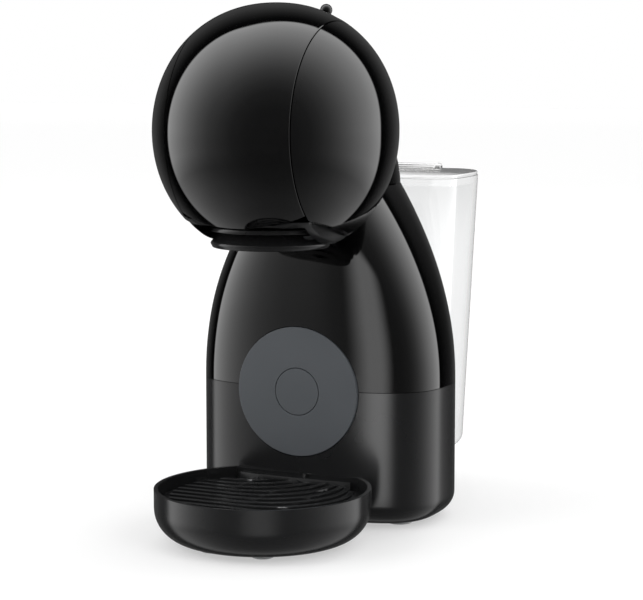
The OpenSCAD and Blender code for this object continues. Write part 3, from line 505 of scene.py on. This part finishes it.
bm = bmesh.new()
spin_whole(bm, disc_points([(0.0, 1.2), (HUB_R + 0.3, 1.2), (HUB_R + 0.3, 0.0), (DISC_R, 0.0), (DISC_R, 3.0),
                            (DISC_R - 7.0, 3.0), (DISC_R - 7.0, disc_back - disc_face),
                            (DISC_R - 9.0, disc_back - disc_face), (DISC_R - 9.0, 3.0), (0.0, 3.0)]),
           (0.0, 0.0, DISC_Z), Y_AXIS, 160, False)
complete(make_object("column_disc", bm), "machine", "disc_grey", "front_disc", edge=0.35, segments=3)
bm = bmesh.new()
spin_whole(bm, disc_points([(0.0, 0.0), (HUB_R, 0.0), (HUB_R, 1.1), (0.0, 1.1)]),
           (0.0, 0.0, DISC_Z), Y_AXIS, 96, False)
complete(make_object("column_disc_cap", bm), "machine", "disc_grey", "disc_cap", edge=0.3, segments=3)

# ---- the drip tray and its grid ----


def bowl(name, r, low, high, corner):
    bm = bmesh.new()
    outline = [(0.0, low)] + [(r - corner + corner * math.sin(t), low + corner * (1 - math.cos(t)))
                              for t in between(0.0, math.pi / 2, 16)] + [(r, high), (0.0, high)]
    spin_whole(bm, [(x, TRAY_Y, z) for x, z in outline], (0.0, TRAY_Y, 0.0), Z_AXIS, 192, False)
    return make_object(name, bm)


def column_room(grow):
    bm = bmesh.new()
    plan = base_ring(0.0, -grow)[1:]
    loft(bm, [(z,) + plan for z in (-1.0, 59.0)])
    return make_object("column_room", bm)


tray = bowl("tray_bowl", TRAY_R, FOOT_H, TRAY_TOP, TRAY_CORNER)
carve(tray, column_room(GAP))
inside = bowl("tray_inside", TRAY_R - TRAY_WALL - 3.2, FOOT_H + 2.4, TRAY_TOP + 1.0, TRAY_CORNER - 6.0)
carve(inside, column_room(GAP + TRAY_WALL))
carve(tray, inside)
bm = bmesh.new()
rod(bm, TRAY_R - TRAY_WALL, 20.0, Matrix.Translation((0.0, TRAY_Y, GRID_TOP - 4.6 + 10.0)), 192)
ledge = make_object("tray_ledge", bm)
carve(ledge, column_room(GAP + TRAY_WALL))
carve(tray, ledge)
complete(tray, "tray", "satin_black", "drip_tray", edge=0.5, segments=3)

# ---- the water tank ----


def tank_ring(z, inset):
    s = (TANK_TOP - z) / (TANK_TOP - TANK_LOW)
    d = TANK_TAPER * s
    return (z, TANK_W / 2 - d - inset, TANK_MID - 0.3 * d - TANK_FRONT - inset + 0.3 * s,
            TANK_REAR - TANK_MID - 1.1 * d - inset, TANK_MID - 0.3 * d, 6.0, 2.6)


foot = [(TANK_LOW + TANK_CORNER * (1 - math.cos(t)), TANK_CORNER * (1 - math.sin(t)))
        for t in between(0.0, math.pi / 2, 10)]
bm = bmesh.new()
loft(bm, [tank_ring(z, inset) for z, inset in foot]
     + [tank_ring(z, 0.0) for z in between(TANK_STRAIGHT, TANK_TOP, 12)], 160)
tank = make_object("tank_body", bm)
bm = bmesh.new()
loft(bm, [tank_ring(TANK_LOW + TANK_WALL + rise, TANK_WALL + inset)
          for rise, inset in ((0.0, 3.0), (1.0, 1.0), (4.0, 0.0))]
     + [tank_ring(z, TANK_WALL) for z in between(TANK_STRAIGHT, TANK_TOP, 12)]
     + [(TANK_TOP + 1.0,) + tank_ring(TANK_TOP, TANK_WALL)[1:]], 160)
hollow = make_object("tank_hollow", bm)
bm = bmesh.new()
block(bm, (80.0, 20.0, 12.0), Matrix.Translation((0.0, LID_AXIS.y + 7.0, TANK_TOP + 3.0)))
carve(hollow, make_object("hinge_shelf", bm))
carve(tank, hollow)
for side in (-1, 1):
    bm = bmesh.new()
    x = side * (LID_PIN_A - 1.6)
    block(bm, (3.0, 4.8, LID_AXIS.z - TANK_TOP + 4.0),
          Matrix.Translation((x, LID_AXIS.y, (LID_AXIS.z + TANK_TOP - 4.0) / 2)))
    lug = make_object("lid_lug", bm)
    bm = bmesh.new()
    eye = Matrix.Translation((x, LID_AXIS.y, LID_AXIS.z))
    rod(bm, 2.4, 3.0, eye @ Matrix.Rotation(math.pi / 2, 4, "Y"), 48)
    carve(lug, make_object("lug_eye", bm), "UNION")
    carve(tank, lug, "UNION")
bm = bmesh.new()
rod(bm, 1.05, 60.0, Matrix.Translation(LID_AXIS) @ Matrix.Rotation(math.pi / 2, 4, "Y"), 32)
carve(tank, make_object("pin_hole", bm))
bm = bmesh.new()
rod(bm, VALVE_D / 2 + 0.05, 6.0, Matrix.Translation((0.0, VALVE_Y, TANK_LOW + 2.0)), 64)
carve(tank, make_object("valve_hole", bm))
complete(tank, "tank", "clear_plastic", "water_tank", edge=0.5, segments=3)

# ---- pieces whose node has the right shape, with their edges rounded ----

shaped = {}
for node, body, finish, edge in (
    ("capsule_holder", "capsule_drawer", "satin_black", 0.4),
    ("jaw_frame", "machine", "satin_black", 0.4),
    ("drip_grid", "grid", "satin_black", 0.45),
    ("tank_lid", "lid", "clear_plastic", 0.35),
    ("power_button", "power_key", "disc_grey", 0.5),
    ("button_ring", "machine", "satin_black", 0.4),
    ("tank_dock", "machine", "satin_black", 0.6),
    ("visor_frame", "visor", "satin_black", 0.25),
):
    shaped[node] = merged_copy(node)
    complete(shaped[node], body, finish, node, edge=edge)
# The polished head reflects the tent's own light, and not the clear tank and lid in front of it.
tank.visible_glossy = shaped["tank_lid"].visible_glossy = False

# ---- the floor, the lamps and the light tent ----

# The floor glows a little to the camera, so that it stays nearly white around the shadow.
FLOOR_GLOW, FLOOR_GLOW_SHARE = 1.3, 0.36
floor_mesh = bpy.data.meshes.new("floor")
bm = bmesh.new()
bmesh.ops.create_grid(bm, x_segments=1, y_segments=1, size=9.0)
bm.to_mesh(floor_mesh)
bm.free()
floor = bpy.data.objects.new("floor", floor_mesh)
scene.collection.objects.link(floor)
floor.visible_glossy = False
floor_finish = bpy.data.materials.new("floor_finish")
floor_finish.use_nodes = True
tree = floor_finish.node_tree
tree.nodes.clear()
paper = tree.nodes.new("ShaderNodeBsdfDiffuse")
paper.inputs["Color"].default_value = (0.86, 0.86, 0.86, 1.0)
glow = tree.nodes.new("ShaderNodeEmission")
glow.inputs["Strength"].default_value = FLOOR_GLOW
path = tree.nodes.new("ShaderNodeLightPath")
share = tree.nodes.new("ShaderNodeMath")
share.operation = "MULTIPLY"
share.inputs[1].default_value = FLOOR_GLOW_SHARE
blend = tree.nodes.new("ShaderNodeMixShader")
shown = tree.nodes.new("ShaderNodeOutputMaterial")
tree.links.new(path.outputs["Is Camera Ray"], share.inputs[0])
tree.links.new(share.outputs[0], blend.inputs["Fac"])
tree.links.new(paper.outputs[0], blend.inputs[1])
tree.links.new(glow.outputs[0], blend.inputs[2])
tree.links.new(blend.outputs[0], shown.inputs["Surface"])
floor_mesh.materials.append(floor_finish)


LAMP_AIM = Vector((0.0, 0.0, 0.12))


def lamp(name, place, size, power):
    data = bpy.data.lights.new(name, "AREA")
    data.shape = "DISK"
    data.size = size
    data.energy = power
    made = bpy.data.objects.new(name, data)
    made.location = place
    made.rotation_mode = "QUATERNION"
    made.rotation_quaternion = (LAMP_AIM - Vector(place)).to_track_quat("-Z", "Y")
    made.visible_glossy = False
    scene.collection.objects.link(made)


lamp("lamp_left", (-1.3, -1.5, 1.5), 1.2, 9.0)
lamp("lamp_right", (1.7, -0.9, 1.3), 1.2, 8.0)
lamp("lamp_rear", (0.2, 1.8, 1.4), 1.4, 8.0)

# The tent is dark by the lens and bright at the sides, up to a crisp edge. Past it the tent is nearly black.
# Its glow and its edge have axes of their own.
TENT_STRENGTH = 3.68
GLOW_AZIMUTH, GLOW_HEIGHT = 23.0, -3.0
GLOW = [(0.0, 0.01), (25.0, 0.015), (40.0, 0.045), (50.0, 0.105), (60.0, 0.2), (70.0, 0.35), (80.0, 0.53),
        (90.0, 0.72), (100.0, 0.86), (115.0, 0.97), (180.0, 0.97)]
HAZE = 0.03
# What dull surfaces take from every side.
DIFFUSE_LIGHT = 0.75
EDGE_AZIMUTH, EDGE_HEIGHT = 29.6, -2.6
EDGE = [(0.0, 1.0), (117.1, 1.0), (118.7, 0.0), (180.0, 0.0)]
RIM = [(0.0, 0.0), (121.0, 0.0), (126.0, 0.015), (132.0, 0.06), (140.0, 0.108), (150.0, 0.135),
       (163.0, 0.108), (173.0, 0.03), (180.0, 0.03)]
# On the column and the base the bright sheet reaches further round, on sheets that only they reflect.
REACH_AZIMUTH, REACH_HEIGHT, REACH_SIDE_AZIMUTH = -4.0, 3.86, 145.0
REACH_CENTRE, REACH_R = (0.0, 0.0, 0.1), 6.0
REACH = [(0.0, 1.0), (157.0, 1.0), (158.6, 0.0), (180.0, 0.0)]
REACH_SIDE = [(0.0, 1.0), (28.0, 1.0), (38.0, 0.0), (180.0, 0.0)]
BASE_SIDE = [(0.0, 1.0), (14.0, 1.0), (30.0, 0.0), (180.0, 0.0)]
PAST_EDGE = [(0.0, 0.0), (117.1, 0.0), (118.7, 0.9), (124.0, 0.62), (134.0, 0.42), (180.0, 0.4)]

# The tent dims towards the floor, and is a little brighter at its upper left.
SKIRT = [(0.0, 1.0), (90.0, 1.0), (96.0, 0.92), (105.0, 0.84), (111.0, 0.62), (117.0, 0.42), (130.0, 0.42),
         (147.0, 0.3), (158.0, 0.18), (180.0, 0.1)]
BALANCE_SIDE = (-72.0, 44.6)
BALANCE = [(0.0, 1.0), (60.0, 0.894), (90.0, 0.787), (120.0, 0.681), (180.0, 0.575)]


def heading(azimuth, height):
    a, h = math.radians(azimuth), math.radians(height)
    return Vector((math.sin(a) * math.cos(h), -math.cos(a) * math.cos(h), math.sin(h)))


world = bpy.data.worlds.new("light_tent")
scene.world = world
world.use_nodes = True
tree = world.node_tree
tree.nodes.clear()
direction = tree.nodes.new("ShaderNodeTexCoord").outputs["Generated"]


def arithmetic(operation, first, second=None):
    made = tree.nodes.new("ShaderNodeMath")
    made.operation = operation
    for socket, value in zip(made.inputs, (first, second)):
        if isinstance(value, (int, float)):
            socket.default_value = value
        elif value is not None:
            tree.links.new(value, socket)
    return made.outputs[0]


def turn_from(axis):
    """How far the direction is turned from an axis, from 0 to 1 for half a turn."""
    facing = tree.nodes.new("ShaderNodeVectorMath")
    facing.operation = "DOT_PRODUCT"
    facing.inputs[1].default_value = axis
    tree.links.new(direction, facing.inputs[0])
    return arithmetic("DIVIDE", arithmetic("ARCCOSINE", facing.outputs["Value"]), math.pi)


def by_turn(turn, stops):
    ramp = tree.nodes.new("ShaderNodeValToRGB")
    elements = ramp.color_ramp.elements
    for angle, value in stops[1:-1]:
        elements.new(angle / 180.0).color = (value, value, value, 1.0)
    for stop, value in ((elements[0], stops[0][1]), (elements[-1], stops[-1][1])):
        stop.color = (value, value, value, 1.0)
    tree.links.new(turn, ramp.inputs["Fac"])
    return ramp.outputs["Color"]


def tent_glow():
    """The bright sheet of the tent, before its edge."""
    glow = arithmetic("MULTIPLY", by_turn(turn_from(heading(GLOW_AZIMUTH, GLOW_HEIGHT)), GLOW),
                      by_turn(turn_from(Vector((0.0, 0.0, 1.0))), SKIRT))
    glow = arithmetic("MULTIPLY", glow, by_turn(turn_from(heading(*BALANCE_SIDE)), BALANCE))
    return arithmetic("MULTIPLY", arithmetic("ADD", glow, HAZE), TENT_STRENGTH)


edge_turn = turn_from(heading(EDGE_AZIMUTH, EDGE_HEIGHT))
tent = arithmetic("ADD", arithmetic("MULTIPLY", tent_glow(), by_turn(edge_turn, EDGE)),
                  by_turn(edge_turn, RIM))
path = tree.nodes.new("ShaderNodeLightPath")


def background(strength):
    made = tree.nodes.new("ShaderNodeBackground")
    if isinstance(strength, float):
        made.inputs["Strength"].default_value = strength
    else:
        tree.links.new(strength, made.inputs["Strength"])
    made.inputs["Color"].default_value = (1.0, 1.0, 1.0, 1.0)
    return made.outputs[0]


def mixed(factor, first, second):
    made = tree.nodes.new("ShaderNodeMixShader")
    tree.links.new(factor, made.inputs["Fac"])
    tree.links.new(first, made.inputs[1])
    tree.links.new(second, made.inputs[2])
    return made.outputs[0]


through = arithmetic("MAXIMUM", path.outputs["Is Transmission Ray"],
                     arithmetic("GREATER_THAN", path.outputs["Transmission Depth"], 0.5))
lighting = mixed(path.outputs["Is Diffuse Ray"], background(tent), background(DIFFUSE_LIGHT))
shown = tree.nodes.new("ShaderNodeOutputWorld")
seen = arithmetic("MAXIMUM", path.outputs["Is Camera Ray"], through)
tree.links.new(mixed(seen, lighting, background(1.0)), shown.inputs["Surface"])


def light_sheet(name, bm, place, turn, size, strength, *pieces):
    """A glowing sheet that only some pieces reflect, and that nothing else sees."""
    mesh = bpy.data.meshes.new(name)
    bm.to_mesh(mesh)
    bm.free()
    sheet = bpy.data.objects.new(name, mesh)
    sheet.location, sheet.scale = place, size
    sheet.rotation_mode = "QUATERNION"
    sheet.rotation_quaternion = turn
    scene.collection.objects.link(sheet)
    sheet.visible_camera = sheet.visible_diffuse = sheet.visible_transmission = sheet.visible_shadow = False
    glow = tree.nodes.new("ShaderNodeEmission")
    tree.links.new(strength, glow.inputs["Strength"])
    clear = tree.nodes.new("ShaderNodeBsdfTransparent")
    both = tree.nodes.new("ShaderNodeAddShader")
    tree.links.new(glow.outputs[0], both.inputs[0])
    tree.links.new(clear.outputs[0], both.inputs[1])
    shown = tree.nodes.new("ShaderNodeOutputMaterial")
    tree.links.new(both.outputs[0], shown.inputs["Surface"])
    lit = bpy.data.collections.new("lit_by_" + name)
    for piece in pieces:
        lit.objects.link(piece)
    sheet.light_linking.receiver_collection = lit
    mesh.materials.append(finish)


def sheet_finish(name):
    """A bare finish, with a direction from the sheet's own origin."""
    made = bpy.data.materials.new(name)
    made.use_nodes = True
    made.node_tree.nodes.clear()
    origin = made.node_tree.nodes.new("ShaderNodeTexCoord")
    return made, made.node_tree, origin.outputs["Object"]


def fading(coordinate, solid):
    made = tree.nodes.new("ShaderNodeMapRange")
    made.interpolation_type = "SMOOTHSTEP"
    made.inputs["From Min"].default_value, made.inputs["From Max"].default_value = 1.0, solid
    tree.links.new(arithmetic("ABSOLUTE", coordinate), made.inputs["Value"])
    return made.outputs["Result"]


# A tall softbox for the column, and the same for the base, the tray and the grid's bars.
SOFTBOX_AIM = Vector((0.0, -0.03, 0.10))
SOFTBOX_DISTANCE, SOFTBOX_SIZE = 1.5, (0.66, 0.72, 1.0)
for name, azimuth, height, roll, power, piece in (
    ("softbox_column", 14.5, 3.0, -0.18, 2.15, upper),
    ("softbox_base", 14.0, 3.0, 0.0, 5.5, lower),
    ("softbox_tray", 23.0, -12.0, 0.0, 1.0, tray),
    ("softbox_grid", 23.0, 55.0, 0.0, 16.0, shaped["drip_grid"]),
):
    finish, tree, direction = sheet_finish(name)
    split = tree.nodes.new("ShaderNodeSeparateXYZ")
    tree.links.new(direction, split.inputs[0])
    shine = arithmetic("MULTIPLY", arithmetic("MULTIPLY", fading(split.outputs["X"], 0.15),
                                              fading(split.outputs["Y"], 0.7)), power)
    bm = bmesh.new()
    bmesh.ops.create_grid(bm, x_segments=1, y_segments=1, size=1.0)
    facing = heading(azimuth, height)
    light_sheet(name, bm, SOFTBOX_AIM + facing * SOFTBOX_DISTANCE,
                facing.to_track_quat("Z", "Y") @ Quaternion((0.0, 0.0, 1.0), roll),
                SOFTBOX_SIZE, shine, piece)

# The part of the tent's sheet that reaches further round the column, and less so at the base.
for name, reach_share, reach_side, piece in (
    ("reach_column", 1.0, REACH_SIDE, upper),
    ("reach_base", 0.35, BASE_SIDE, lower),
):
    finish, tree, along = sheet_finish(name)
    unit = tree.nodes.new("ShaderNodeVectorMath")
    unit.operation = "NORMALIZE"
    tree.links.new(along, unit.inputs[0])
    direction = unit.outputs["Vector"]
    shine = tent_glow()
    for axis, stops in ((heading(REACH_AZIMUTH, REACH_HEIGHT), REACH),
                        (heading(EDGE_AZIMUTH, EDGE_HEIGHT), PAST_EDGE),
                        (heading(REACH_SIDE_AZIMUTH, 0.0), reach_side)):
        shine = arithmetic("MULTIPLY", shine, by_turn(turn_from(axis), stops))
    bm = bmesh.new()
    bmesh.ops.create_icosphere(bm, subdivisions=4, radius=1.0)
    light_sheet(name, bm, REACH_CENTRE, Quaternion(), (REACH_R, REACH_R, REACH_R),
                arithmetic("MULTIPLY", shine, reach_share), piece)

scene.view_settings.view_transform = "Standard"

bpy.context.view_layer.update()
